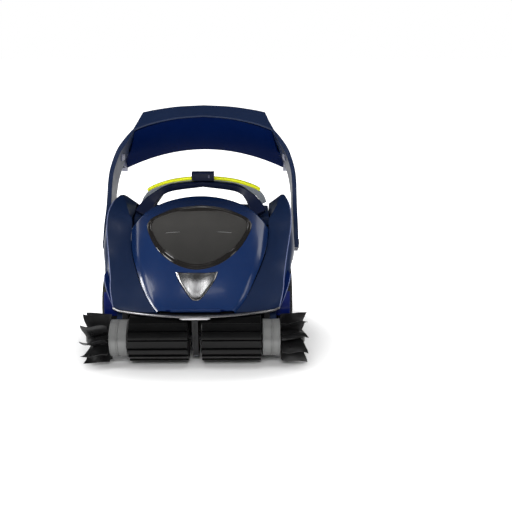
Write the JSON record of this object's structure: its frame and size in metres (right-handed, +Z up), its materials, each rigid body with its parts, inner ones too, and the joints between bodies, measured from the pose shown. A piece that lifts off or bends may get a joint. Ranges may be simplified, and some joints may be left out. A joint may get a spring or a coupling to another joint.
{
  "type": "pool cleaner",
  "caption": "Robotic pool cleaner with a hinged windowed lid, tilting carry handle, lift-out filter canister, geared wheels, front brush rollers and a top outlet.",
  "frame": {"origin": "centre of the bounding box's footprint, on the floor the wheels stand on", "axes": "+Z up, +Y from the brush end towards the carry handle, +X to the right as seen from the front"},
  "size_m": [0.426, 0.478, 0.452],
  "materials": {
    "navy": "satin",
    "lid": "gloss",
    "dark": "gloss",
    "black": "matte",
    "rubber": "matte",
    "grey": "matte",
    "lime": "satin",
    "metal": "satin",
    "chrome": "polished",
    "steel": "brushed",
    "smoked": "gloss",
    "clear": "gloss",
    "mesh": "woven",
    "gear": "matte"
  },
  "bodies": {
    "chassis": {"chassis_tub": "black", "trim_strip": "metal", "front_bumper": "black", "lid_hinge_rod": "steel", "centre_bearing": "grey", "motor_block": "grey", "pump_duct": "black", "rear_cover": "navy", "outlet_grille": "grey", "outlet_hoop": "grey", "accent_band": "lime", "cable_gland": "grey", "left_fender": "navy", "right_fender": "navy", "left_gear_cover": "navy", "right_gear_cover": "navy", "left_wheel_guard": "navy", "right_wheel_guard": "navy", "left_brush_housing": "grey", "right_brush_housing": "grey", "left_handle_pin": "steel", "right_handle_pin": "steel"},
    "lid": {"lid_shell": "lid", "window": "smoked", "window_rim": "black", "badge": "chrome", "lid_grip": "dark"},
    "latch": {"lid_latch": "dark"},
    "canister": {"canister_tray": "black", "canister_frame": "black", "canister_screen": "mesh", "canister_rim": "black", "intake_duct": "clear", "canister_catch": "black"},
    "handle": {"handle_shell": "navy", "handle_float": "dark", "left_float_clip": "grey", "right_float_clip": "grey"},
    "propeller": {"propeller": "grey"},
    "cable_swivel": {"cable_swivel": "black"},
    "left_brush": {"left_roller_core": "black", "left_roller_sleeve": "rubber", "left_side_brush": "rubber"},
    "left_motor_drive": {"left_motor_pinion": "gear"},
    "left_transfer": {"left_transfer_gear": "gear"},
    "left_idler": {"left_brush_idler": "gear"},
    "left_front_wheel_body": {"left_front_wheel": "black", "left_front_tyre": "rubber"},
    "left_rear_wheel_body": {"left_rear_wheel": "black", "left_rear_tyre": "rubber"},
    "right_brush": {"right_roller_core": "black", "right_roller_sleeve": "rubber", "right_side_brush": "rubber"},
    "right_motor_drive": {"right_motor_pinion": "gear"},
    "right_transfer": {"right_transfer_gear": "gear"},
    "right_idler": {"right_brush_idler": "gear"},
    "right_front_wheel_body": {"right_front_wheel": "black", "right_front_tyre": "rubber"},
    "right_rear_wheel_body": {"right_rear_wheel": "black", "right_rear_tyre": "rubber"}
  },
  "joints": [
    {"name": "lid_open", "type": "hinge", "parent": "chassis", "child": "lid", "pos_m": [0, -0.187, 0.104], "axis": [1, 0, 0], "range_deg": [0, 75]},
    {"name": "latch_lift", "type": "hinge", "parent": "lid", "child": "latch", "pos_m": [0, 0.147, 0.296], "axis": [1, 0, 0], "range_deg": [-20, 0], "stiffness_Nm_per_rad": 0.05},
    {"name": "canister_lift", "type": "slide", "parent": "chassis", "child": "canister", "axis": [0, 0, 1], "range_m": [0, 0.2488]},
    {"name": "handle_tilt", "type": "hinge", "parent": "chassis", "child": "handle", "pos_m": [0, 0.025, 0.175], "axis": [1, 0, 0], "range_deg": [-45, 0]},
    {"name": "propeller_spin", "type": "hinge", "parent": "chassis", "child": "propeller", "pos_m": [0, 0.112, 0.2], "axis": [0, 0, 1], "continuous": true},
    {"name": "cable_swivel_spin", "type": "hinge", "parent": "chassis", "child": "cable_swivel", "pos_m": [0, 0.211, 0.15], "axis": [0, 1, 0], "continuous": true},
    {"name": "left_brush_spin", "type": "hinge", "parent": "chassis", "child": "left_brush", "pos_m": [0, -0.19, 0.0505], "axis": [1, 0, 0], "continuous": true},
    {"name": "left_motor_spin", "type": "hinge", "parent": "chassis", "child": "left_motor_drive", "pos_m": [0, 0.15375, 0.15378], "axis": [1, 0, 0], "continuous": true},
    {"name": "left_transfer_spin", "type": "hinge", "parent": "chassis", "child": "left_transfer", "pos_m": [0, 0.025, 0.09877], "axis": [1, 0, 0], "continuous": true},
    {"name": "left_idler_spin", "type": "hinge", "parent": "chassis", "child": "left_idler", "pos_m": [0, -0.14047, 0.04364], "axis": [1, 0, 0], "continuous": true},
    {"name": "left_front_wheel_spin", "type": "hinge", "parent": "chassis", "child": "left_front_wheel_body", "pos_m": [0, -0.06, 0.078], "axis": [1, 0, 0], "continuous": true},
    {"name": "left_rear_wheel_spin", "type": "hinge", "parent": "chassis", "child": "left_rear_wheel_body", "pos_m": [0, 0.11, 0.078], "axis": [1, 0, 0], "continuous": true},
    {"name": "right_brush_spin", "type": "hinge", "parent": "chassis", "child": "right_brush", "pos_m": [0, -0.19, 0.0505], "axis": [1, 0, 0], "continuous": true},
    {"name": "right_motor_spin", "type": "hinge", "parent": "chassis", "child": "right_motor_drive", "pos_m": [0, 0.15375, 0.15378], "axis": [1, 0, 0], "continuous": true},
    {"name": "right_transfer_spin", "type": "hinge", "parent": "chassis", "child": "right_transfer", "pos_m": [0, 0.025, 0.09877], "axis": [1, 0, 0], "continuous": true},
    {"name": "right_idler_spin", "type": "hinge", "parent": "chassis", "child": "right_idler", "pos_m": [0, -0.14047, 0.04364], "axis": [1, 0, 0], "continuous": true},
    {"name": "right_front_wheel_spin", "type": "hinge", "parent": "chassis", "child": "right_front_wheel_body", "pos_m": [0, -0.06, 0.078], "axis": [1, 0, 0], "continuous": true},
    {"name": "right_rear_wheel_spin", "type": "hinge", "parent": "chassis", "child": "right_rear_wheel_body", "pos_m": [0, 0.11, 0.078], "axis": [1, 0, 0], "continuous": true}
  ],
  "couplings": [
    {"joint": "canister_lift", "follows": "lid_open", "m_per_rad": 0.19},
    {"joint": "left_front_wheel_spin", "follows": "left_brush_spin", "ratio": 0.375},
    {"joint": "left_rear_wheel_spin", "follows": "left_brush_spin", "ratio": 0.375},
    {"joint": "left_idler_spin", "follows": "left_brush_spin", "ratio": -0.81818},
    {"joint": "left_transfer_spin", "follows": "left_brush_spin", "ratio": -0.81818},
    {"joint": "left_motor_spin", "follows": "left_brush_spin", "ratio": -0.81818},
    {"joint": "right_front_wheel_spin", "follows": "right_brush_spin", "ratio": 0.375},
    {"joint": "right_rear_wheel_spin", "follows": "right_brush_spin", "ratio": 0.375},
    {"joint": "right_idler_spin", "follows": "right_brush_spin", "ratio": -0.81818},
    {"joint": "right_transfer_spin", "follows": "right_brush_spin", "ratio": -0.81818},
    {"joint": "right_motor_spin", "follows": "right_brush_spin", "ratio": -0.81818}
  ]
}
